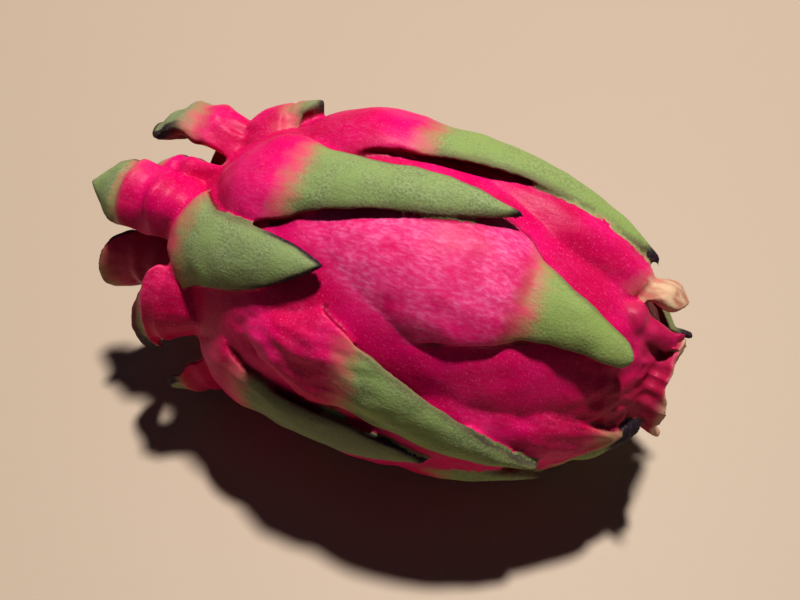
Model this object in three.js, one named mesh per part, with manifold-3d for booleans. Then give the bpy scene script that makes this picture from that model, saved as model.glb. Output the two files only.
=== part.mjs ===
// A whole dragon fruit (pitaya) lying on its side. The skin and its leafy scales grew as one
// piece, so the fruit is one closed solid. Millimetres and degrees, +Z up. The fruit's axis runs
// along +X from the stem scar to the flower scar, and the origin is on the small flat spot that
// the fruit rests on. A station is a distance along the axis from the stem scar, and a clock angle
// goes round the axis from the top (0) over the front (90, towards -Y).
import * as THREE from "three";
import { mergeVertices } from "three/addons/utils/BufferGeometryUtils.js";
import Module from "manifold-3d";

// Driving dimensions.
const FRUIT_LENGTH = 127; // stem scar to the rim round the flower scar
const GIRTH = 39; // radius of the plump body, under its scales
const GIRTH_STATION = 57; // where the body is widest
const ORIGIN_STATION = 62; // the station above the origin
const AXIS_HEIGHT = 39.6; // the axis above the surface that the fruit rests on
const STEM_BLUNTNESS = 2.6; // superellipse powers: the stem end is square-shouldered,
const FLOWER_BLUNTNESS = 1.9; // and the flower end tapers
const FLOWER_END = 125; // station where the taper would close, were there no rim
const RIM_RADIUS = 11.5; // the rim round the flower scar
const HOLLOW = { depth: 6, mouth: 7.5, floor: 5 }; // the scar's hollow: depth and two radii
const STEM = { length: 3, radius: 4.5, scar: 9 }; // the cut stalk, and the scar round it

// The scales stand in one spiral, each this far round from the one before it.
const SPIRAL_START = 47;
const SPIRAL_TURN = 136.5;

// A scale's flesh, in millimetres.
const ROOT_DEPTH = 7; // how deep its root is buried
const ROOT_SINK = 1.5; // how far below the skin its root starts
const FLESH_THICK = 3.6; // where it parts from the skin
const FOLD_THICK = 5; // the same for a scale of the collar
const TIP_THICK = 1.5;
const MARGIN_THICK = 1.2;
const ROOT_DROOP = 4.6; // how much lower than its middle a root's margins lie,
const FREE_DROOP = 1.6; // and a free scale's margins

// How wide each shape of scale is along its run, from its root (-1) past where it parts from the
// skin (0) to its tip (1), as a share of its width.
const RUNS = [-1, -0.9, -0.6, -0.3, -0.08, 0.03, 0.15, 0.4, 0.65, 0.85, 0.95, 1];
const SHAPES = {
  strap: [0, 0.85, 1.4, 1.5, 1.3, 1.18, 0.9, 0.7, 0.57, 0.36, 0.16, 0.01],
  lance: [0, 0.9, 1.5, 1.6, 1.35, 1.15, 0.98, 0.85, 0.72, 0.45, 0.2, 0.01],
  mitre: [0.3, 0.5, 0.85, 1.15, 1.4, 1.24, 0.98, 0.86, 0.66, 0.35, 0.14, 0.01],
  tongue: [0, 1.1, 1.7, 1.75, 1.4, 1.1, 0.88, 0.64, 0.48, 0.37, 0.28, 0.02],
  hood: [0, 0.9, 1.3, 1.4, 1.25, 1.12, 1.0, 0.85, 0.62, 0.32, 0.14, 0.01],
  awn: [0, 1.5, 3.0, 3.0, 2.0, 1.0, 0.9, 0.8, 0.6, 0.45, 0.4, 0.1],
  stub: [0, 1.2, 1.9, 2.0, 1.5, 1.1, 1.0, 1.05, 1.05, 0.9, 0.65, 0.02],
  fold: [0.3, 0.7, 0.9, 0.97, 1.0, 1.0, 1.0, 0.97, 0.8, 0.45, 0.2, 0.01],
  lobe: [0.3, 0.7, 0.9, 0.97, 1.0, 1.0, 1.0, 0.97, 0.88, 0.7, 0.45, 0.02],
};

// The scales that point to the flower end. order is the place in the spiral and drift how far off
// it the scale grew, station is where it parts from the skin, root and reach are its lengths
// behind and beyond that, lift its height there, tip its height at the tip, and sweep how far
// round its tip bends. thick is its flesh and end the flesh of its tip, if not the usual.
const BODY_SCALES = [
  {
    order: 0, shape: "mitre", drift: -4, station: 11, root: 12, reach: 38, width: 20,
    lift: 4.7, tip: 4, sweep: -9,
  },
  { order: 1, drift: 0, station: 15, root: 14, reach: 36, width: 20, lift: 3, tip: 4, sweep: 4 },
  {
    order: 2, shape: "hood", drift: 2, station: 19, root: 20, reach: 8, width: 17, lift: 6,
    tip: 6, sweep: 0, thick: 7, end: 5,
  },
  {
    order: 3, shape: "lance", drift: 3, station: 33, root: 26, reach: 47, width: 20,
    lift: 4.5, tip: 5, sweep: -6,
  },
  { order: 4, drift: 0, station: 31, root: 26, reach: 44, width: 20, lift: 4, tip: 6, sweep: 3 },
  {
    order: 5, drift: -3, station: 31, root: 28, reach: 53, width: 21, lift: 4.5, tip: 7,
    sweep: -9,
  },
  { order: 6, drift: 0, station: 43, root: 32, reach: 44, width: 20, lift: 3, tip: 4, sweep: 4 },
  {
    order: 7, drift: 0, station: 48, root: 34, reach: 45, width: 20, lift: 4.5, tip: 6,
    sweep: -4,
  },
  {
    order: 8, shape: "mitre", drift: 6, station: 52, root: 30, reach: 51, width: 19, lift: 5,
    tip: 6, sweep: 27,
  },
  { order: 9, drift: -14, station: 64, root: 40, reach: 38, width: 21, lift: 3, tip: 3, sweep: 3 },
  {
    order: 10, shape: "lance", drift: -4, station: 53, root: 42, reach: 59, width: 20,
    lift: 6.2, tip: 7.5, sweep: -8,
  },
  {
    order: 11, shape: "hood", drift: 0, station: 68, root: 40, reach: 36, width: 20, lift: 4,
    tip: 4.5, sweep: 8,
  },
  { order: 12, drift: 0, station: 72, root: 44, reach: 40, width: 20, lift: 4, tip: 6, sweep: -4 },
  {
    order: 13, shape: "tongue", drift: -1, station: 88, root: 62, reach: 26, width: 22,
    lift: 4.2, tip: 6, sweep: 8,
  },
  { order: 14, drift: 0, station: 84, root: 50, reach: 34, width: 20, lift: 3, tip: 5, sweep: 3 },
  {
    order: 15, shape: "awn", drift: 2, station: 98, root: 46, reach: 31, width: 8, lift: 7,
    tip: 4, sweep: -22,
  },
  {
    order: 16, shape: "hood", drift: 19, station: 95, root: 50, reach: 24, width: 25,
    lift: 3.5, tip: 3, sweep: 3,
  },
  { order: 17, drift: 0, station: 98, root: 48, reach: 26, width: 20, lift: 4, tip: 5, sweep: 4 },
  {
    order: 18, shape: "stub", drift: -14, station: 112, root: 64, reach: 6.5, width: 13,
    lift: 5, tip: 8.5, sweep: -3, thick: 9, end: 6,
  },
  {
    order: 19, shape: "hood", drift: 0, station: 108, root: 40, reach: 16, width: 14,
    lift: 2.5, tip: 3, sweep: -24,
  },
  { order: 20, drift: 0, station: 109, root: 40, reach: 18, width: 17, lift: 3, tip: 5, sweep: 6 },
  { order: 22, drift: 0, station: 112, root: 36, reach: 13, width: 14, lift: 3, tip: 4, sweep: 8 },
  {
    order: 26, shape: "mitre", drift: 0, station: 115, root: 6, reach: 12, width: 8,
    lift: 2.5, tip: 5, sweep: -10,
  },
];

// The scales round the stem, which bend back towards it. crest and tip are [station, radius].
const COLLAR_SCALES = [
  { order: -1, drift: -8, station: 10, crest: [-3, 28], tip: [-12, 22], width: 22 },
  { order: -2, drift: -2, station: 24, crest: [13, 40.5], tip: [4, 43.5], width: 33, thick: 3 },
  { order: -3, drift: 2, station: 9, crest: [-4, 22], tip: [-11, 18], width: 12, thick: 3 },
  { order: -4, drift: 0, station: 12, crest: [0, 31], tip: [-9, 29], width: 24 },
  {
    order: -5, shape: "lobe", drift: -3, station: 18, crest: [4, 32], tip: [0, 35], width: 27,
    sweep: 38, thick: 9, end: 5,
  },
  {
    order: -6, shape: "lobe", drift: 22, station: 14, crest: [-4, 29], tip: [-17, 23],
    width: 20, thick: 8,
  },
  { order: -7, drift: -8, station: 11, crest: [-4, 27], tip: [-10, 28], width: 22 },
  { order: -8, drift: -6, station: 12, crest: [-7, 25], tip: [-25, 19], width: 18.5, thick: 8 },
  { order: -9, drift: 0, station: 6, crest: [-6, 18], tip: [-12, 14], width: 17 },
  {
    order: -10, shape: "lobe", drift: -18, station: 6, crest: [-8, 19], tip: [-19, 24],
    width: 31, thick: 2.6,
  },
];

// Facets: enough for the shape, few enough to stay quick.
const BODY_SIDES = 36;
const BODY_STEPS = 22;
const SCALE_SIDES = 8;
const SCALE_STEPS = 12;

const { clamp, degToRad, lerp, smoothstep } = THREE.MathUtils;

// The body's radius at a station.
function skinRadius(station) {
  const toStem = station < GIRTH_STATION;
  const power = toStem ? STEM_BLUNTNESS : FLOWER_BLUNTNESS;
  const end = toStem ? 0 : FLOWER_END;
  const share = clamp((station - GIRTH_STATION) / (end - GIRTH_STATION), 0, 1);
  const radius = GIRTH * (1 - share ** power) ** (1 / power);
  return Math.max(radius, toStem ? STEM.scar : RIM_RADIUS);
}

// Half a scale's width at a run.
function halfWidth(scale, run) {
  const shares = SHAPES[scale.shape ?? (scale.crest ? "fold" : "strap")];
  const next = Math.max(1, RUNS.findIndex((at) => at >= run));
  const past = clamp((run - RUNS[next - 1]) / (RUNS[next] - RUNS[next - 1]), 0, 1);
  return (lerp(shares[next - 1], shares[next], past) * scale.width) / 2;
}

// A point of the fruit, from its station, distance from the axis and clock angle.
function fruitPoint(station, radius, clock) {
  const angle = degToRad(clock);
  return new THREE.Vector3(
    station - ORIGIN_STATION,
    -radius * Math.sin(angle),
    AXIS_HEIGHT + radius * Math.cos(angle),
  );
}

// The plump body: a revolved outline with the stalk at one end and the flower's hollow at the
// other.
function bodyGeometry() {
  const outline = [
    [-STEM.length, 0],
    [-STEM.length, STEM.radius],
    [0, STEM.radius],
  ];
  for (let i = 0; i <= BODY_STEPS; i++) {
    const station = (FRUIT_LENGTH * (1 - Math.cos((Math.PI * i) / BODY_STEPS))) / 2;
    outline.push([station, skinRadius(station)]);
  }
  outline.push(
    [FRUIT_LENGTH, HOLLOW.mouth],
    [FRUIT_LENGTH - HOLLOW.depth, HOLLOW.floor],
    [FRUIT_LENGTH - HOLLOW.depth, 0],
  );
  const points = outline.map(([station, radius]) => new THREE.Vector2(radius, station));
  return new THREE.LatheGeometry(points, BODY_SIDES)
    .rotateZ(-Math.PI / 2)
    .translate(-ORIGIN_STATION, 0, AXIS_HEIGHT);
}

// The line that a body scale follows: the skin below it.
function skinLine(scale) {
  return (run) => {
    const station = scale.station + run * (run < 0 ? scale.root : scale.reach);
    return [station, skinRadius(station)];
  };
}

// The line that a collar scale follows: off the shoulder, over its crest, and back to its tip.
function collarLine(scale) {
  const start = new THREE.Vector2(scale.station, skinRadius(scale.station));
  const [crest, tip] = [scale.crest, scale.tip].map(([x, y]) => new THREE.Vector2(x, y));
  const bow = crest.clone().multiplyScalar(2).sub(start.clone().lerp(tip, 0.5));
  const curve = new THREE.QuadraticBezierCurve(start, bow, tip);
  return (run) => curve.getPoint(clamp((run + 1) / 2, 0, 1)).toArray();
}

// A ball pressed into a scale: its poles become the root and the tip, its sides the margins, and
// its halves the outer and inner faces.
function scaleGeometry(scale, line, rise) {
  const ball = new THREE.SphereGeometry(1, SCALE_SIDES, SCALE_STEPS);
  const position = ball.getAttribute("position");
  const heading = Math.sign(line(1)[0] - line(-1)[0]);
  const clock = SPIRAL_START + SPIRAL_TURN * scale.order + scale.drift;
  for (let i = 0; i < position.count; i++) {
    const [x, y, z] = [position.getX(i), position.getY(i), position.getZ(i)];
    const run = (2 * Math.acos(clamp(y, -1, 1))) / Math.PI - 1;
    const ring = Math.hypot(x, z);
    const across = ring > 1e-6 ? (-heading * x) / ring : 0;
    const { crown, margin, floor } = rise(run);
    const outer = z >= 0;
    const middle = outer ? crown : floor;
    const side = outer ? margin : margin - MARGIN_THICK * Math.min(1, (2 * Math.abs(z)) / (ring || 1));
    const height = lerp(side, middle, 1 - across ** 2);

    const step = 0.01;
    const [s0, r0] = line(run - step);
    const [s1, r1] = line(run + step);
    const length = Math.hypot(s1 - s0, r1 - r0) || 1;
    const [station, radius] = line(run);
    const up = heading * height;
    const high = Math.max(2, radius + (up * (s1 - s0)) / length);
    const round = THREE.MathUtils.radToDeg((across * halfWidth(scale, run)) / high);
    const bend = (scale.sweep ?? 0) * Math.max(run, 0) ** 1.5;
    const point = fruitPoint(station - (up * (r1 - r0)) / length, high, clock + bend + round);
    position.setXYZ(i, point.x, point.y, point.z);
  }
  return ball;
}

// Heights above the skin along a body scale, of its middle, its margins and its inner face.
function bodyRise(scale) {
  return (run) => {
    const rooted = lerp(-ROOT_SINK, scale.lift, smoothstep(run, -1, 0));
    const crown = run < 0 ? rooted : lerp(scale.lift, scale.tip, smoothstep(run, 0, 0.6));
    const droop = lerp(ROOT_DROOP, FREE_DROOP, smoothstep(run, -0.5, 0.2));
    const thick = lerp(scale.thick ?? FLESH_THICK, scale.end ?? TIP_THICK, Math.max(run, 0));
    const floor = lerp(-ROOT_DEPTH, crown - thick, smoothstep(run, -0.2, 0.08));
    return { crown, margin: crown - droop * (1 - 0.5 * Math.max(run, 0)), floor };
  };
}

// The same for a collar scale, whose line already rises off the skin.
function collarRise(scale) {
  const fold = scale.thick ?? FOLD_THICK;
  return (run) => {
    const swell = lerp(0, fold / 2, smoothstep(run, -1, -0.2));
    const crown = swell - (fold / 2 - 1) * smoothstep(run, 0.2, 0.8);
    const droop = lerp(ROOT_DROOP, FREE_DROOP, smoothstep(run, -0.4, 0.5));
    const thick = lerp(fold, scale.end ?? TIP_THICK, smoothstep(run, 0.2, 0.9));
    const floor = lerp(-ROOT_DEPTH, crown - thick, smoothstep(run, -0.4, 0.1));
    return { crown, margin: crown - droop, floor };
  };
}

const wasm = await Module();
wasm.setup();

// A closed geometry as a solid that can be joined and cut.
function solidOf(geometry) {
  const bare = geometry.clone();
  bare.deleteAttribute("normal");
  bare.deleteAttribute("uv");
  const merged = mergeVertices(bare, 1e-3);
  const triVerts = new Uint32Array(merged.index.array);
  const vertProperties = new Float32Array(merged.getAttribute("position").array);
  return new wasm.Manifold(new wasm.Mesh({ numProp: 3, vertProperties, triVerts }));
}

// A solid as a geometry to show.
function geometryOf(solid) {
  const mesh = solid.getMesh();
  return new THREE.BufferGeometry()
    .setAttribute("position", new THREE.BufferAttribute(mesh.vertProperties, 3))
    .setIndex(new THREE.BufferAttribute(mesh.triVerts, 1))
    .toNonIndexed();
}

// The fruit: body and scales in one, pressed flat where it rests.
function fruitGeometry() {
  const surfaceBelow = new THREE.BoxGeometry(400, 400, 100).translate(0, 0, -50);
  const solids = [
    solidOf(bodyGeometry()),
    ...BODY_SCALES.map((scale) => solidOf(scaleGeometry(scale, skinLine(scale), bodyRise(scale)))),
    ...COLLAR_SCALES.map((scale) => solidOf(scaleGeometry(scale, collarLine(scale), collarRise(scale)))),
  ];
  const fruit = solids.reduce((joined, solid) => joined.add(solid));
  const geometry = geometryOf(fruit.subtract(solidOf(surfaceBelow)));
  geometry.computeVertexNormals();
  return geometry;
}

const skin = new THREE.MeshStandardMaterial({ color: 0xc81e58, roughness: 0.5, metalness: 0 });
const fruit = new THREE.Mesh(fruitGeometry(), skin);
fruit.name = "dragon_fruit";

const group = new THREE.Group();
group.add(fruit);

export default group;
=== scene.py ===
import math

import bpy
import numpy as np
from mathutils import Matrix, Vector, noise


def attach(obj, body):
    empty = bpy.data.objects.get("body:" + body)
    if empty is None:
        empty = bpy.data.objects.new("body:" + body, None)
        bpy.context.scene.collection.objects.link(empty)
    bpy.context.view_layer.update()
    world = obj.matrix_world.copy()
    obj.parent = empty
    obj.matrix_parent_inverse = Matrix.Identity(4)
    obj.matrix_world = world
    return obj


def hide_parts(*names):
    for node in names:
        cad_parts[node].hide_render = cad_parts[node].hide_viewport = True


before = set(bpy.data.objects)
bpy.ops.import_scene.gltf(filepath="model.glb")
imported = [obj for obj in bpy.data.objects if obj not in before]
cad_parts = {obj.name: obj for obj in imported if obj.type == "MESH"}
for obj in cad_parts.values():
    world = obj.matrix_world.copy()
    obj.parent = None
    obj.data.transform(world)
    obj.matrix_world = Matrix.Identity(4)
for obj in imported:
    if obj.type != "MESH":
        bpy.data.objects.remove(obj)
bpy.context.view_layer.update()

# The plump body. Soft flesh in a waxy skin, widest nearer the stem, with square shoulders and a
# cut stalk there, and a pleated neck that draws in to the flower scar. It grew as one swollen
# piece, and it lies on its side, its axis along +X.
MM = 0.001
FRUIT_LENGTH = 127
GIRTH = 39
GIRTH_STATION = 57
ORIGIN_STATION = 62
AXIS_HEIGHT = 39.6
STEM_BLUNTNESS = 2.6
FLOWER_BLUNTNESS = 1.9
FLOWER_END = 125
RIM_RADIUS = 11
RIM_FLARE = 1.2
RIM_RAGGEDNESS = 1.3
STEM_SCAR_RADIUS = 9
LUMP_HEIGHT = 0.7
PLEAT_HEIGHT = 0.8


def ramp(x, low, high):
    """From 0 at low to 1 at high, eased at both ends."""
    share = np.clip((x - low) / (high - low), 0, 1)
    return share * share * (3 - 2 * share)


def blend(a, b, share):
    return a + (b - a) * share


def skin_radius(station):
    """The body's radius at a station, a distance along the axis from the stem scar."""
    station = np.asarray(station, dtype=float)
    to_stem = station < GIRTH_STATION
    stem_share = np.clip((GIRTH_STATION - station) / GIRTH_STATION, 0, 1)
    flower_share = np.clip((station - GIRTH_STATION) / (FLOWER_END - GIRTH_STATION), 0, 1)
    stem_side = GIRTH * (1 - stem_share**STEM_BLUNTNESS) ** (1 / STEM_BLUNTNESS)
    flower_side = GIRTH * (1 - flower_share**FLOWER_BLUNTNESS) ** (1 / FLOWER_BLUNTNESS)
    flared_rim = RIM_RADIUS + RIM_FLARE * ramp(station, 121, 128)
    return np.where(
        to_stem, np.maximum(stem_side, STEM_SCAR_RADIUS), np.maximum(flower_side, flared_rim)
    )


def fruit_points(station, radius, clock):
    """Points from their stations, radii, and clock angles: 0 is the top and 90 the front."""
    angle = np.radians(clock)
    x = station - ORIGIN_STATION
    y = -radius * np.sin(angle)
    z = AXIS_HEIGHT + radius * np.cos(angle)
    return np.stack([x, y, z], axis=1) * MM


def read_points(mesh):
    flat = np.empty(len(mesh.vertices) * 3)
    mesh.vertices.foreach_get("co", flat)
    return flat.reshape(-1, 3)


def write_points(mesh, points):
    mesh.vertices.foreach_set("co", np.ascontiguousarray(points).ravel())
    mesh.update()


def fuzz(points, size, seed):
    """Smooth noise from -1 to 1 at each point, with lumps about size metres across."""
    shift = Vector((seed * 7.31, seed * 3.17, seed * 5.53))
    return np.array([noise.noise(Vector(p) / size + shift) for p in points]) * 1.6


BODY_OUTLINE = [(-2.8, 0), (-2.8, 3.4), (-2.2, 4.2), (0, 4.6), (0.6, 7)]
BODY_OUTLINE += [
    (s, float(skin_radius(s)))
    for s in FRUIT_LENGTH * (1 - np.cos(np.linspace(0.14, math.pi, 60))) / 2
]
BODY_OUTLINE += [(127.3, 11.2), (126.6, 10), (125, 8.4), (121, 6), (121, 0)]

bpy.ops.object.select_all(action="DESELECT")
bpy.ops.mesh.primitive_uv_sphere_add(segments=180, ring_count=150, radius=1)
body = bpy.context.object
body.name = "dragon_fruit_skin"
ball = read_points(body.data)
outline = np.array(BODY_OUTLINE)
walked = np.concatenate([[0], np.cumsum(np.hypot(*np.diff(outline, axis=0).T))])
along = np.arccos(np.clip(-ball[:, 2], -1, 1)) / math.pi * walked[-1]
station = np.interp(along, walked, outline[:, 0])
radius = np.interp(along, walked, outline[:, 1])
clock = np.degrees(np.arctan2(ball[:, 1], ball[:, 0]))
rough_place = fruit_points(station, radius, clock)
lumps = LUMP_HEIGHT * fuzz(rough_place, 0.022, 1)
neck = ramp(station, 100, 120)
drawn_out = rough_place * (0.15, 1, 1)
pleats = 0.8 - 1.8 * np.abs(fuzz(drawn_out, 0.0035, 2)) + 0.6 * fuzz(drawn_out, 0.007, 3)
radius = radius + (lumps + neck * PLEAT_HEIGHT * pleats) * ramp(radius, 4, 12)
station = station + RIM_RAGGEDNESS * ramp(station, 120, 127) * fuzz(rough_place, 0.006, 4)
write_points(body.data, fruit_points(station, radius, clock))

# The leafy scales. Each swells out of the skin as a smooth pink pad, narrows to a waist, and
# runs on towards the flower end as a fleshy green blade that lifts clear of the skin. They
# stand in one spiral and grow as one piece with the skin.
SPIRAL_START = 47
SPIRAL_TURN = 136.5
ROOT_DEPTH = 7
ROOT_SINK = 1.5
FLESH_THICK = 3.6
TIP_THICK = 1.5
MARGIN_THICK = 1.2
MARGIN_DROOP = 2.4
WAIST_DIP = 0.7
WAVE_HEIGHT = 0.35

# The widths of each shape of scale, as shares of its own width, from its root to its tip.
RUNS = [-1, -0.9, -0.6, -0.3, -0.08, 0.03, 0.15, 0.4, 0.65, 0.85, 0.95, 1]
SHAPES = {
    "strap": [0, 0.85, 1.4, 1.5, 1.3, 1.18, 0.9, 0.7, 0.57, 0.36, 0.16, 0.01],
    "lance": [0, 0.9, 1.5, 1.6, 1.35, 1.15, 0.98, 0.85, 0.72, 0.45, 0.2, 0.01],
    "mitre": [0.3, 0.5, 0.85, 1.15, 1.4, 1.24, 0.98, 0.86, 0.66, 0.35, 0.14, 0.01],
    "tongue": [0, 1.1, 1.7, 1.75, 1.4, 1.1, 0.88, 0.64, 0.48, 0.37, 0.28, 0.02],
    "hood": [0, 0.9, 1.3, 1.4, 1.25, 1.12, 1.0, 0.85, 0.62, 0.32, 0.14, 0.01],
    "awn": [0, 1.5, 3.0, 3.0, 2.0, 1.0, 0.9, 0.8, 0.6, 0.45, 0.4, 0.1],
    "stub": [0, 1.2, 1.9, 2.0, 1.5, 1.1, 1.0, 1.05, 1.05, 0.9, 0.65, 0.02],
    "fold": [0.3, 0.7, 0.9, 0.97, 1.0, 1.0, 1.0, 0.97, 0.8, 0.45, 0.2, 0.01],
    "lobe": [0.3, 0.7, 0.9, 0.97, 1.0, 1.0, 1.0, 0.97, 0.88, 0.7, 0.45, 0.02],
}
# order is the place in the spiral and drift how far off it the scale grew. station is where the
# blade starts, root and reach are the lengths behind and beyond that, lift is its height there,
# tip its height at its tip, and sweep how far round the tip bends. thick and end are its flesh
# at those two places, droop is how far its margins hang, and free where they come clear. green
# is how far past the start its pink ends, and dry and burnt how much of its tip and margin has
# withered. tone goes from grey to yellow-green, and frost_and_sheen, crease, cork and
# dull_and_shaded say how pale its bloom is and how wrinkled, corky or dull it is. A high
# frost_and_sheen also paints a pale highlight, and dull_and_shaded paints shade on a scale
# that lies in another's shadow.
BODY_SCALES = [
    dict(order=0, shape="mitre", drift=-4, station=11, root=12, reach=38, width=20, lift=4.7,
         tip=4, sweep=-9, green=1, dry=2, burnt=0.8, tone=-0.2, free=-0.3),
    dict(order=1, drift=0, station=15, root=14, reach=36, width=20, lift=3, tip=4, sweep=4),
    dict(order=2, shape="hood", drift=2, station=19, root=20, reach=8, width=17, lift=6,
         tip=6, sweep=0, thick=7, end=5, green=2.5, dry=1.5, tone=-0.8, crease=0.4, free=0.3),
    dict(order=3, shape="lance", drift=3, station=33, root=26, reach=47, width=20, lift=4.5,
         tip=5, sweep=-6, tone=-0.9, burnt=0.6, crease=0.4),
    dict(order=4, drift=0, station=31, root=26, reach=44, width=20, lift=4, tip=6, sweep=3),
    dict(order=5, drift=-3, station=31, root=28, reach=53, width=21, lift=4.5, tip=7,
         sweep=-9, green=4, dry=3, tone=0.1, droop=2.9),
    dict(order=6, drift=0, station=43, root=32, reach=44, width=20, lift=3, tip=4, sweep=4),
    dict(order=7, drift=0, station=48, root=34, reach=45, width=20, lift=4.5, tip=6, sweep=-4),
    dict(order=8, shape="mitre", drift=6, station=52, root=30, reach=51, width=19, lift=5,
         tip=6, sweep=27, green=8, dry=1, burnt=0.4, tone=0.1, crease=0.6, free=-0.3),
    dict(order=9, drift=-14, station=64, root=40, reach=38, width=21, lift=3, tip=3, sweep=3),
    dict(order=10, shape="lance", drift=-4, station=53, root=42, reach=59, width=20, lift=6.2,
         tip=7.5, sweep=-8, green=5, dry=4, tone=0.5, droop=3.4),
    dict(order=11, shape="hood", drift=0, station=68, root=40, reach=36, width=20, lift=4,
         tip=4.5, sweep=8, green=14, dry=1, crease=0.3),
    dict(order=12, drift=0, station=72, root=44, reach=40, width=20, lift=4, tip=6, sweep=-4),
    # This pad's bloom is raised far past the rest, which paints a pale highlight on it.
    dict(order=13, shape="tongue", drift=-1, station=88, root=62, reach=26, width=22, lift=4.2,
         tip=6, sweep=8, green=4, dry=0, tone=0.7, frost_and_sheen=1.6),
    dict(order=14, drift=0, station=84, root=50, reach=34, width=20, lift=3, tip=5, sweep=3),
    dict(order=15, shape="awn", drift=2, station=98, root=46, reach=31, width=8, lift=7, tip=4,
         sweep=-22, dry=4),
    dict(order=16, shape="hood", drift=19, station=95, root=50, reach=24, width=25, lift=3.5,
         tip=3, sweep=3, green=21, dry=0, tone=-0.3, crease=0.4, free=0),
    dict(order=17, drift=0, station=98, root=48, reach=26, width=20, lift=4, tip=5, sweep=4),
    dict(order=18, shape="stub", drift=-14, station=112, root=64, reach=6.5, width=13, lift=5,
         tip=8.5, sweep=-3, thick=9, end=6, green=2, dry=0, cork=1, frost_and_sheen=0.2, free=0),
    dict(order=19, shape="hood", drift=0, station=108, root=40, reach=16, width=14, lift=2.5,
         tip=3, sweep=-24, dry=8),
    dict(order=20, drift=0, station=109, root=40, reach=18, width=17, lift=3, tip=5, sweep=6),
    dict(order=22, drift=0, station=112, root=36, reach=13, width=14, lift=3, tip=4, sweep=8),
    dict(order=26, shape="mitre", drift=0, station=115, root=6, reach=12, width=8, lift=2.5,
         tip=5, sweep=-10, green=16, dry=0, dull_and_shaded=1, free=-0.3),
]


def skin_line(scale):
    """The line that a body scale follows: the skin below it."""

    def line(run):
        station = scale["station"] + run * np.where(run < 0, scale["root"], scale["reach"])
        return station, skin_radius(station)

    return line


def half_width(run, scale):
    """Half a scale's width, from -1 at its root over 0 at its waist to 1 at its tip."""
    shares = SHAPES[scale.get("shape", "fold" if "crest" in scale else "strap")]
    near = [np.interp(run + step, RUNS, shares) for step in (-0.03, 0, 0.03)]
    return np.where(run > 0.97, near[1], sum(near) / 3) * scale["width"] / 2


def body_rise(run, scale):
    """Heights above the skin of a blade's middle, its margins and its inner face."""
    out = np.maximum(run, 0)
    lift, tip = scale["lift"], scale["tip"]
    rooted = blend(-ROOT_SINK, lift, ramp(run, -1, -0.2))
    dip = WAIST_DIP * np.exp(-(((run - 0.1) / 0.08) ** 2))
    free = blend(lift, tip, ramp(run, 0, 0.6)) - dip
    crown = np.where(run < 0, rooted, free)
    free_from = scale.get("free", -0.5)
    hang = scale.get("droop", MARGIN_DROOP)
    droop = blend(lift + 2.5, hang, ramp(run, free_from, free_from + 0.4))
    droop = droop * blend(1, 0.6, ramp(run, 0.2, 1))
    thick = blend(scale.get("thick", FLESH_THICK), scale.get("end", TIP_THICK), out)
    floor = blend(-ROOT_DEPTH, crown - thick, ramp(run, -0.1, 0.12))
    power = blend(2.0, 3.2, ramp(run, -0.8, -0.1)) - 1.0 * ramp(run, 0, 0.4)
    under = blend(3.0, 0.7, ramp(run, -0.42, -0.12)) + 1.5 * ramp(run, 0.05, 0.25)
    return crown, crown - droop, floor, power, under


def scale_clock(scale):
    return SPIRAL_START + SPIRAL_TURN * scale["order"] + scale["drift"]


def line_frame(line, run):
    """The line's point at each run, with the unit direction along it."""
    station, radius = line(run)
    s0, r0 = line(run - 0.01)
    s1, r1 = line(run + 0.01)
    length = np.maximum(np.hypot(s1 - s0, r1 - r0), 1e-6)
    return station, radius, (s1 - s0) / length, (r1 - r0) / length


def press_scale(name, scale, line, rise):
    """A ball pressed into a scale: its poles become the root and the tip."""
    bpy.ops.object.select_all(action="DESELECT")
    bpy.ops.mesh.primitive_uv_sphere_add(segments=40, ring_count=72, radius=1)
    piece = bpy.context.object
    piece.name = name
    x, y, z = read_points(piece.data).T
    run = 2 * np.arccos(np.clip(-z, -1, 1)) / math.pi - 1
    ring = np.maximum(np.hypot(x, y), 1e-9)
    heading = np.sign(line(np.array([1.0]))[0] - line(np.array([-1.0]))[0])[0]
    across = np.where(ring > 1e-6, heading * x / ring, 0)
    crown, margin, floor, power, under = rise(run, scale)
    wave = np.sin(run * 9 + scale["order"]) * WAVE_HEIGHT * ramp(run, 0, 0.4) * across
    side = np.where(y < 0, margin, margin - MARGIN_THICK * np.minimum(1, 3 * np.abs(y) / ring))
    middle = np.where(y < 0, crown, floor)
    bulge = 1 - np.abs(across) ** np.where(y < 0, power, under)
    height = blend(side, middle, bulge) + wave
    station, radius, along_s, along_r = line_frame(line, run)
    up = heading * height
    high = np.maximum(radius + up * along_s, 2)
    turn = np.degrees(across * half_width(run, scale) / high)
    bend = scale.get("sweep", 0) * np.maximum(run, 0) ** 1.5
    clock = scale_clock(scale) + bend + turn
    write_points(piece.data, fruit_points(station - up * along_r, high, clock))
    return piece


scale_pieces = [
    press_scale(f"scale_{scale['order']}", scale, skin_line(scale), body_rise)
    for scale in BODY_SCALES
]

# The collar round the stem. The first scales to grow are short, thick and fleshy, and bend
# back over the shoulder towards the stem, so that fat pink folds stand out round the scar.
# They grow out of the skin as the other scales do.
FOLD_THICK = 5
RING_HEIGHT = 0.5
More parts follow.
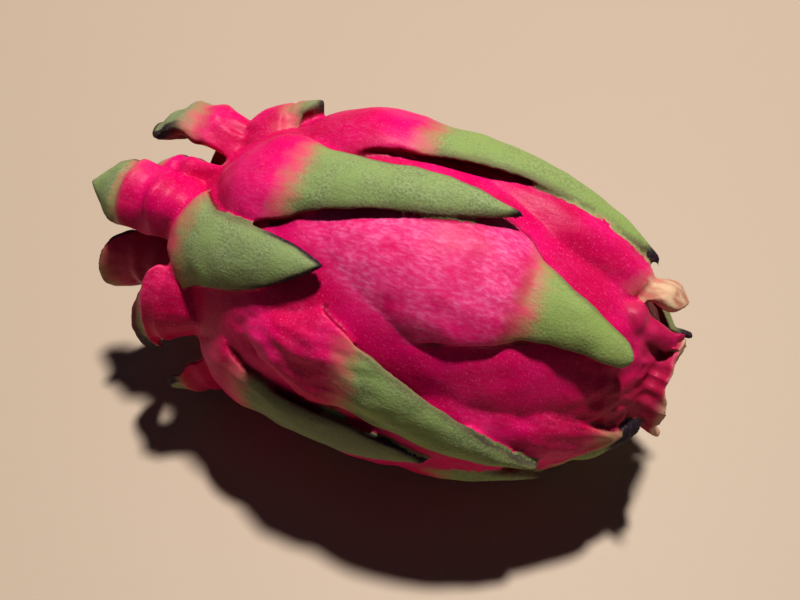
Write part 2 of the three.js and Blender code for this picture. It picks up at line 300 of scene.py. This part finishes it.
# crest and tip are (station, radius), and ridges is the height of the rings across the fold.
COLLAR_SCALES = [
    dict(order=-1, drift=-8, station=10, crest=(-3, 28), tip=(-12, 22), width=22, green=6),
    dict(order=-2, drift=-2, station=24, crest=(13, 40.5), tip=(4, 43.5), width=33, green=4,
         thick=3, burnt=3, tone=-0.7),
    dict(order=-3, drift=2, station=9, crest=(-4, 22), tip=(-11, 18), width=12, green=12, thick=3),
    dict(order=-4, drift=0, station=12, crest=(0, 31), tip=(-9, 29), width=24, green=6),
    dict(order=-5, shape="lobe", drift=-3, station=18, crest=(4, 32), tip=(0, 35), width=27,
         sweep=38, green=13, thick=9, end=5, tone=-0.7, crease=0.3),
    dict(order=-6, shape="lobe", drift=22, station=14, crest=(-4, 29), tip=(-17, 23), width=20,
         green=0, thick=8, burnt=1.2, dry=4, tone=-0.8, crease=0.5),
    dict(order=-7, drift=-8, station=11, crest=(-4, 27), tip=(-10, 28), width=22, green=6),
    dict(order=-8, drift=-6, station=12, crest=(-7, 25), tip=(-25, 19), width=18.5, green=6,
         thick=8, burnt=0.4, dry=1, tone=-0.3, ridges=1.3),
    dict(order=-9, drift=0, station=6, crest=(-6, 18), tip=(-12, 14), width=17, green=6),
    # This scale lies in the shadow of the fat fold beside it, and its dull dark crimson is painted
    # shade.
    dict(order=-10, shape="lobe", drift=-18, station=6, crest=(-8, 19), tip=(-19, 24),
         width=31, green=17, thick=2.6, burnt=0.6, dull_and_shaded=1),
]


def collar_line(scale):
    """Off the shoulder, over the crest, and back to the tip, as one smooth curve."""
    start = np.array([scale["station"], float(skin_radius(scale["station"]))])
    crest, tip = np.array(scale["crest"], float), np.array(scale["tip"], float)
    bow = 2 * crest - (start + tip) / 2

    def line(run):
        share = np.clip((run + 1) / 2, -0.2, 1.2)[:, None]
        point = (1 - share) ** 2 * start + 2 * share * (1 - share) * bow + share**2 * tip
        return point[:, 0], point[:, 1]

    return line


def collar_rise(run, scale):
    """The same heights as body_rise gives, for a scale whose line already rises off the skin."""
    out = np.maximum(run, 0)
    fold = scale.get("thick", FOLD_THICK)
    rings = np.sin(run * 14) * ramp(run, -0.6, -0.3) * (1 - ramp(run, 0.25, 0.45))
    crown = blend(0, fold / 2, ramp(run, -1, -0.2)) - (fold / 2 - 1) * ramp(run, 0.2, 0.8)
    crown = crown + scale.get("ridges", RING_HEIGHT) * rings
    droop = blend(5.5, 1.8, ramp(run, -0.4, 0.5))
    thins_at = 0.35 if scale.get("shape") == "lobe" else 0.1
    thick = blend(fold, scale.get("end", TIP_THICK), ramp(out, thins_at, thins_at + 0.65))
    floor = blend(-ROOT_DEPTH, crown - thick, ramp(run, -0.4, 0.1))
    power = blend(2.0, 2.6, ramp(run, -0.5, 0))
    return crown, crown - droop, floor, power, power


scale_pieces += [
    press_scale(f"collar_{-scale['order']}", scale, collar_line(scale), collar_rise)
    for scale in COLLAR_SCALES
]

# The whole skin. Body and scales grew as one, in a waxy skin that is pink on the body and green
# on the blades, so their solids are fused into one surface, softened where they meet and
# pressed flat where the fruit rests.
VOXEL = 0.5 * MM
SKIN_TRIANGLES = 190_000
SOFTENING_PASSES = 4
DIMPLE_HEIGHT = 0.18
WRINKLE_HEIGHT = 0.85
SHRINKAGE = 0.22


def apply_modifier(piece, kind, **settings):
    bpy.ops.object.select_all(action="DESELECT")
    piece.select_set(True)
    bpy.context.view_layer.objects.active = piece
    modifier = piece.modifiers.new(kind.title(), kind)
    for key, value in settings.items():
        setattr(modifier, key, value)
    bpy.ops.object.modifier_apply(modifier=modifier.name)


bpy.ops.object.select_all(action="DESELECT")
for piece in scale_pieces:
    piece.select_set(True)
body.select_set(True)
bpy.context.view_layer.objects.active = body
bpy.ops.object.join()
skin = body
apply_modifier(skin, "REMESH", mode="VOXEL", voxel_size=VOXEL, adaptivity=0)
apply_modifier(skin, "SMOOTH", factor=0.5, iterations=SOFTENING_PASSES)
points = read_points(skin.data)
points[:, 2] = np.maximum(points[:, 2], 0)
write_points(skin.data, points)
triangles = 2 * len(skin.data.polygons)
apply_modifier(skin, "DECIMATE", ratio=min(1, SKIN_TRIANGLES / triangles))
bpy.ops.object.select_all(action="DESELECT")
skin.select_set(True)
bpy.context.view_layer.objects.active = skin
bpy.ops.object.shade_smooth()


def wrap(degrees):
    return (degrees + 180) % 360 - 180


def nearest_run(line, station, radius, runs):
    """The run whose point on the line is nearest to each point, and the height above it."""
    s, r, along_s, along_r = line_frame(line, runs)
    away = (station[:, None] - s) ** 2 + (radius[:, None] - r) ** 2
    pick = away.argmin(axis=1)
    ds, dr = station - s[pick], radius - r[pick]
    pace = np.hypot(np.gradient(s, runs), np.gradient(r, runs))[pick]
    run = runs[pick] + (ds * along_s[pick] + dr * along_r[pick]) / pace
    return run, -ds * along_r[pick] + dr * along_s[pick]


def mark_growth(mesh, scales):
    """Which part of which scale each point is, from how each scale was pressed."""
    x, y, z = (read_points(mesh) / MM).T
    station = x + ORIGIN_STATION
    radius = np.hypot(y, z - AXIS_HEIGHT)
    clock = np.degrees(np.arctan2(-y, z - AXIS_HEIGHT))
    stalk = (1 - ramp(station, 0.2, 1.2)) * (1 - ramp(radius, 5, 6.5))
    hollow = ramp(station, 118, 121) * (1 - ramp(radius, 7.5, 9.5))
    marks = {
        "past_waist": blend(-40.0, 5.0, stalk),
        "from_margin": np.full(len(x), 20.0),
        "from_tip": np.full(len(x), 60.0),
        "inner": np.zeros(len(x)),
        "withered": np.zeros(len(x)),
        "tone": np.zeros(len(x)),
        "frost_and_sheen": np.full(len(x), 0.2),
        "burnt": np.zeros(len(x)),
        "cork": stalk,
        "crease": 0.35 * ramp(station, 104, 116),
        "dull_and_shaded": ramp(station, 109, 121),
        "papery": np.maximum(ramp(station, 125.4, 126.4), 0.6 * hollow),
    }
    closest = np.abs(radius - skin_radius(np.clip(station, 0.5, FRUIT_LENGTH))) + 0.2
    for scale, line, rise, heading in scales:
        around = wrap(clock - scale_clock(scale) - scale.get("sweep", 0) / 2)
        reach = scale.get("reach", 20)
        near = np.flatnonzero(np.abs(around) < 35 + 400 / np.maximum(radius, 8))
        runs = np.linspace(-1, 1.1, 90)
        run, height = nearest_run(line, station[near], radius[near], runs)
        height = height * heading
        bend = scale.get("sweep", 0) * np.maximum(run, 0) ** 1.5
        half = np.maximum(half_width(run, scale), 0.3)
        turned = np.radians(wrap(clock[near] - scale_clock(scale) - bend))
        across = np.clip(np.abs(turned * radius[near] / half), 0, 4)
        crown, margin, floor, power, under = rise(run, scale)
        bulge = np.clip(across, 0, 1)
        top = blend(margin, crown, 1 - bulge**power)
        bottom = blend(margin - MARGIN_THICK, floor, 1 - bulge**under)
        outside = np.maximum(np.maximum(height - top, bottom - height), (across - 1) * half)
        outside = np.maximum(outside, (run - 1) * reach)
        distance = np.abs(outside)
        won = (distance < closest[near]) & (distance < 2.5) & (run > -1)
        at = near[won]
        closest[at] = distance[won]
        length = np.where(run < 0, scale.get("root", 14), reach)
        marks["past_waist"][at] = (run * length - scale.get("green", 0))[won]
        marks["from_margin"][at] = np.clip((1 - across) * half, 0, 20)[won]
        marks["from_tip"][at] = np.clip((1 - run) * reach, 0, 60)[won]
        # The inner face is marked so that it can be painted darker, as painted shade under the
        # scale.
        facing_in = (height - bottom < top - height) & (run > -0.3)
        marks["inner"][at] = facing_in[won]
        marks["withered"][at] = scale.get("dry", 3)
        marks["tone"][at] = scale.get("tone", 0)
        marks["frost_and_sheen"][at] = scale.get("frost_and_sheen", 0.28)
        marks["burnt"][at] = scale.get("burnt", 0)
        marks["cork"][at] = scale.get("cork", 0)
        marks["crease"][at] = scale.get("crease", 0.15)
        marks["dull_and_shaded"][at] = scale.get("dull_and_shaded", 0)
        marks["papery"][at] = 0
    return marks


marks = mark_growth(
    skin.data,
    [(scale, skin_line(scale), body_rise, 1) for scale in BODY_SCALES]
    + [(scale, collar_line(scale), collar_rise, -1) for scale in COLLAR_SCALES],
)
edge_ends = np.empty(len(skin.data.edges) * 2, dtype=int)
skin.data.edges.foreach_get("vertices", edge_ends)
one_end, other_end = edge_ends.reshape(-1, 2).T
touching = np.bincount(edge_ends)
for name, values in marks.items():
    around = np.bincount(one_end, values[other_end], len(values))
    around += np.bincount(other_end, values[one_end], len(values))
    values = marks[name] = blend(values, around / touching, 0.6)
    skin.data.attributes.new(name, "FLOAT", "POINT").data.foreach_set("value", values)

# Wrinkles run lengthwise where a pad has shrunk, and shallow dimples cover the whole skin.
points = read_points(skin.data)
normals = np.empty(len(points) * 3)
skin.data.vertices.foreach_get("normal", normals)
drawn_out = points * (0.4, 1, 1)
furrow = 0.5 - 1.6 * np.abs(fuzz(drawn_out, 0.0055, 5)) + 0.4 * fuzz(drawn_out, 0.0022, 6)
shrunk = marks["crease"] * (1 - ramp(marks["past_waist"], 0, 14) * 0.6)
swell = DIMPLE_HEIGHT * fuzz(points, 0.005, 7) + WRINKLE_HEIGHT * shrunk * furrow - SHRINKAGE
points = points + normals.reshape(-1, 3) * (swell * MM)[:, None]
points[:, 2] = np.maximum(points[:, 2], 0)
write_points(skin.data, points)


def add_node(tree, kind, inputs=None, **settings):
    made = tree.nodes.new("ShaderNode" + kind)
    for key, value in settings.items():
        setattr(made, key, value)
    for key, value in (inputs or {}).items():
        if isinstance(value, bpy.types.NodeSocket):
            tree.links.new(value, made.inputs[key])
        else:
            made.inputs[key].default_value = value
    return made


def calculate(tree, operation, a, b, clamp=False):
    inputs = {0: a, 1: b}
    return add_node(tree, "Math", inputs, operation=operation, use_clamp=clamp).outputs[0]


def fade(tree, value, low, high):
    """From 0 where the value is low to 1 where it is high, eased at both ends."""
    inputs = {"Value": value, "From Min": low, "From Max": high}
    return add_node(tree, "MapRange", inputs, interpolation_type="SMOOTHSTEP").outputs[0]


def colour_mix(tree, share, a, b):
    """Colour a where the share is 0 and b where it is 1; each is fixed, or another node's."""
    made = add_node(tree, "Mix", {"Factor": share}, data_type="RGBA")
    for socket, colour in ((6, a), (7, b)):
        if isinstance(colour, bpy.types.NodeSocket):
            tree.links.new(colour, made.inputs[socket])
        else:
            made.inputs[socket].default_value = (*colour, 1)
    return made.outputs[2]


def grain(tree, place, size, detail, stretch=None):
    """Noise with lumps about size metres across, from 0 to 1."""
    if stretch:
        place = add_node(tree, "Mapping", {"Vector": place, "Scale": stretch}).outputs[0]
    inputs = {"Vector": place, "Scale": 1 / size, "Detail": detail, "Roughness": 0.55}
    return add_node(tree, "TexNoise", inputs).outputs["Fac"]


def attribute(tree, name):
    return add_node(tree, "Attribute", attribute_name=name).outputs["Fac"]


CRIMSON, HOT_PINK = (0.60, 0.0, 0.08), (0.80, 0.001, 0.165)
HAZE_AND_SHEEN_PINK, FROST_AND_SHEEN_PINK, SPECK_PINK = (0.90, 0.075, 0.28), (0.95, 0.24, 0.45), (0.92, 0.10, 0.30)
DULL_SHADED_RED, DULL_SHADED_PINK = (0.26, 0.010, 0.035), (0.48, 0.04, 0.085)
PAPER_TAN = (0.62, 0.36, 0.24)
DEEP_GREEN, PALE_GREEN, WARM_GREEN = (0.205, 0.25, 0.11), (0.36, 0.42, 0.19), (0.30, 0.38, 0.14)
YELLOW_GREEN, GREY_GREEN, RIM_BROWN = (0.33, 0.42, 0.09), (0.24, 0.24, 0.15), (0.17, 0.11, 0.07)
PEACH, TAWNY = (0.74, 0.13, 0.16), (0.48, 0.24, 0.13)
# The inner face's colours, darkened as painted shade.
SHADED_INNER_CRIMSON, SHADED_INNER_GREEN = (0.22, 0.002, 0.022), (0.12, 0.15, 0.06)
PURPLE_BLACK, DEAD_BROWN = (0.035, 0.02, 0.03), (0.12, 0.07, 0.06)
HUSK_BROWN, HUSK_TAN = (0.50, 0.22, 0.15), (0.70, 0.48, 0.30)
ROUGH_PINK = 0.37
ROUGHER_GREEN = 0.2

skin_material = bpy.data.materials.new("fruit_skin")
skin_material.use_nodes = True
tree = skin_material.node_tree
shader = tree.nodes["Principled BSDF"]
place = add_node(tree, "TexCoord").outputs["Object"]
past_waist = attribute(tree, "past_waist")
from_margin = attribute(tree, "from_margin")
from_tip = attribute(tree, "from_tip")
inner = attribute(tree, "inner")
dry_length = attribute(tree, "withered")
tone = attribute(tree, "tone")
frost_and_sheen = attribute(tree, "frost_and_sheen")
burnt = attribute(tree, "burnt")
cork = attribute(tree, "cork")
dull_and_shaded = attribute(tree, "dull_and_shaded")
papery = attribute(tree, "papery")

# Pink skin: broad patches of crimson and hot pink, under a hazy bloom, pale dashes and specks.
# The bloom is the skin's own, but where a scale's frost is raised high it is also a painted
# highlight.
patches = grain(tree, place, 0.02, detail=4)
pink = colour_mix(tree, fade(tree, patches, 0.35, 0.65), CRIMSON, HOT_PINK)
dashes = grain(tree, place, 0.0008, detail=2, stretch=(0.4, 1, 1))
bloom = grain(tree, place, 0.012, detail=3)
bloom_and_sheen_share = calculate(tree, "MULTIPLY", fade(tree, bloom, 0.25, 0.75), frost_and_sheen)
haze_and_sheen_share = calculate(tree, "MULTIPLY", bloom_and_sheen_share, 0.5, clamp=True)
pink = colour_mix(tree, haze_and_sheen_share, pink, HAZE_AND_SHEEN_PINK)
dashes_and_sheen_share = calculate(tree, "MULTIPLY", bloom_and_sheen_share, fade(tree, dashes, 0.35, 0.8))
dashes_and_sheen_share = calculate(tree, "MULTIPLY", dashes_and_sheen_share, 0.6, clamp=True)
pink = colour_mix(tree, dashes_and_sheen_share, pink, FROST_AND_SHEEN_PINK)
specks = grain(tree, place, 0.0005, detail=1)
specks = calculate(tree, "MULTIPLY", fade(tree, specks, 0.58, 0.74), 0.5)
pink = colour_mix(tree, specks, pink, SPECK_PINK)
# Darker, duller crimson towards the neck and on a few scales. On the collar scale that lies in the
# shadow of the fold beside it, this is painted shade.
duller_and_shaded = colour_mix(tree, fade(tree, bloom, 0.35, 0.65), DULL_SHADED_RED, DULL_SHADED_PINK)
pink = colour_mix(tree, calculate(tree, "MULTIPLY", dull_and_shaded, 0.6), pink, duller_and_shaded)
pink = colour_mix(tree, papery, pink, PAPER_TAN)

# Green blade: fine grain and warm clouds, yellower or greyer by scale, with a browned rim.
pores = grain(tree, place, 0.0006, detail=2)
green = colour_mix(tree, fade(tree, pores, 0.3, 0.7), DEEP_GREEN, PALE_GREEN)
cloudy = grain(tree, place, 0.009, detail=3)
green = colour_mix(tree, fade(tree, cloudy, 0.35, 0.7), green, WARM_GREEN)
yellow = calculate(tree, "MULTIPLY", tone, 0.6, clamp=True)
green = colour_mix(tree, yellow, green, YELLOW_GREEN)
grey = calculate(tree, "MULTIPLY", tone, -0.6, clamp=True)
green = colour_mix(tree, grey, green, GREY_GREEN)
rim = calculate(tree, "ADD", from_margin, calculate(tree, "MULTIPLY", cloudy, 1.5))
rim = calculate(tree, "MULTIPLY", fade(tree, rim, 2.8, 0.9), 0.6)
green = colour_mix(tree, rim, green, RIM_BROWN)

# The pink runs out through peach into the green, in streaks.
streaks = grain(tree, place, 0.003, detail=3, stretch=(0.35, 1, 1))
ragged = calculate(tree, "MULTIPLY_ADD", streaks, 6.0)
ragged.node.inputs[2].default_value = -3.0
greening = calculate(tree, "ADD", past_waist, ragged)
peach = colour_mix(tree, fade(tree, cloudy, 0.35, 0.65), PEACH, TAWNY)
colour = colour_mix(tree, fade(tree, greening, -6.0, 0.5), pink, peach)
colour = colour_mix(tree, fade(tree, greening, -2.5, 4.0), colour, green)

# The inner face, which faces the skin under each scale, is crimson near its base and dull green
# towards the tip, both painted much darker than the outer face as painted shade.
shaded_inside = colour_mix(tree, fade(tree, past_waist, 8, 26), SHADED_INNER_CRIMSON, SHADED_INNER_GREEN)
colour = colour_mix(tree, inner, colour, shaded_inside)

# Withered tips and margins, purple-black and brown, and cork where a stub or stalk has dried.
wither = calculate(tree, "MULTIPLY_ADD", cloudy, 3.0)
tree.links.new(from_tip, wither.node.inputs[2])
wither = calculate(tree, "SUBTRACT", wither, calculate(tree, "ADD", dry_length, 1.5))
withered = calculate(tree, "MULTIPLY", fade(tree, wither, 1.2, -1.2), fade(tree, past_waist, 2, 6))
dead = colour_mix(tree, fade(tree, pores, 0.5, 0.75), PURPLE_BLACK, DEAD_BROWN)
colour = colour_mix(tree, withered, colour, dead)
edge = calculate(tree, "ADD", from_margin, calculate(tree, "MULTIPLY", cloudy, 2.0))
edge = calculate(tree, "SUBTRACT", edge, calculate(tree, "ADD", burnt, 1.0))
scorched = calculate(tree, "MULTIPLY", fade(tree, edge, 0.5, -0.3), fade(tree, burnt, 0.1, 0.6))
scorched = calculate(tree, "MULTIPLY", scorched, fade(tree, from_tip, 20, 12))
colour = colour_mix(tree, scorched, colour, dead)
husk = colour_mix(tree, fade(tree, streaks, 0.35, 0.65), HUSK_BROWN, HUSK_TAN)
corky = calculate(tree, "MULTIPLY", cork, fade(tree, greening, -3.0, 1.0))
colour = colour_mix(tree, corky, colour, husk)
tree.links.new(colour, shader.inputs["Base Color"])

# A soft wax gloss on the pink, rougher where the skin is green, with pores and dashes in relief.
leafy = fade(tree, greening, -3, 3)
rough = calculate(tree, "MULTIPLY_ADD", leafy, ROUGHER_GREEN)
rough.node.inputs[2].default_value = ROUGH_PINK
rough = calculate(tree, "ADD", rough, calculate(tree, "MULTIPLY", bloom, 0.12))
tree.links.new(rough, shader.inputs["Roughness"])
shader.inputs["Specular IOR Level"].default_value = 0.15
shader.inputs["Subsurface Weight"].default_value = 0.12
shader.inputs["Subsurface Radius"].default_value = (1.0, 0.3, 0.25)
shader.inputs["Subsurface Scale"].default_value = 0.002
relief = calculate(tree, "MULTIPLY", pores, calculate(tree, "ADD", leafy, 0.25))
relief = calculate(tree, "ADD", relief, calculate(tree, "MULTIPLY", dashes, 0.5))
bump = add_node(tree, "Bump", {"Height": relief, "Strength": 0.4, "Distance": 0.0003})
tree.links.new(bump.outputs[0], shader.inputs["Normal"])

skin.data.materials.clear()
skin.data.materials.append(skin_material)
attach(skin, "root")
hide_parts("dragon_fruit")

# The floor, the lights and the camera. A plain pale matt floor, one soft lamp almost overhead
# and a little behind, and a faint fill all round, none of which belongs to the fruit.
bpy.ops.object.select_all(action="DESELECT")
bpy.ops.mesh.primitive_plane_add(size=6, location=(0, 0, 0))
floor = bpy.context.object
floor.name = "floor"
floor_material = bpy.data.materials.new("pale_floor")
floor_material.use_nodes = True
floor_shader = floor_material.node_tree.nodes["Principled BSDF"]
floor_shader.inputs["Base Color"].default_value = (0.53, 0.41, 0.3, 1)
floor_shader.inputs["Roughness"].default_value = 0.6
floor.data.materials.append(floor_material)

TARGET = Vector((-0.005, -0.001, 0.038))
LAMP_OFFSET = Vector((0.0, 0.6, 2.0))
CAMERA_AZIMUTH = math.radians(23)
CAMERA_ELEVATION = math.radians(54)
CAMERA_DISTANCE = 0.256

key_data = bpy.data.lights.new("key", "AREA")
key_data.shape = "DISK"
key_data.size = 0.2
key_data.energy = 58
key = bpy.data.objects.new("key", key_data)
bpy.context.collection.objects.link(key)
key.location = TARGET + LAMP_OFFSET
key.rotation_euler = (key.location - TARGET).to_track_quat("Z", "Y").to_euler()

world = bpy.data.worlds.new("studio")
bpy.context.scene.world = world
world.use_nodes = True
background = world.node_tree.nodes["Background"]
background.inputs["Color"].default_value = (0.75, 0.85, 1.2, 1)
background.inputs["Strength"].default_value = 0.042

camera_data = bpy.data.cameras.new("camera")
camera_data.lens = 45
camera_data.sensor_width = 36
camera_data.clip_start = 0.01
camera = bpy.data.objects.new("camera", camera_data)
bpy.context.collection.objects.link(camera)
back = Vector((
    math.sin(CAMERA_AZIMUTH) * math.cos(CAMERA_ELEVATION),
    -math.cos(CAMERA_AZIMUTH) * math.cos(CAMERA_ELEVATION),
    math.sin(CAMERA_ELEVATION),
))
camera.location = TARGET + CAMERA_DISTANCE * back
camera.rotation_euler = back.to_track_quat("Z", "Y").to_euler()
bpy.context.scene.camera = camera
bpy.context.scene.view_settings.view_transform = "Standard"
bpy.context.scene.view_settings.gamma = 0.85
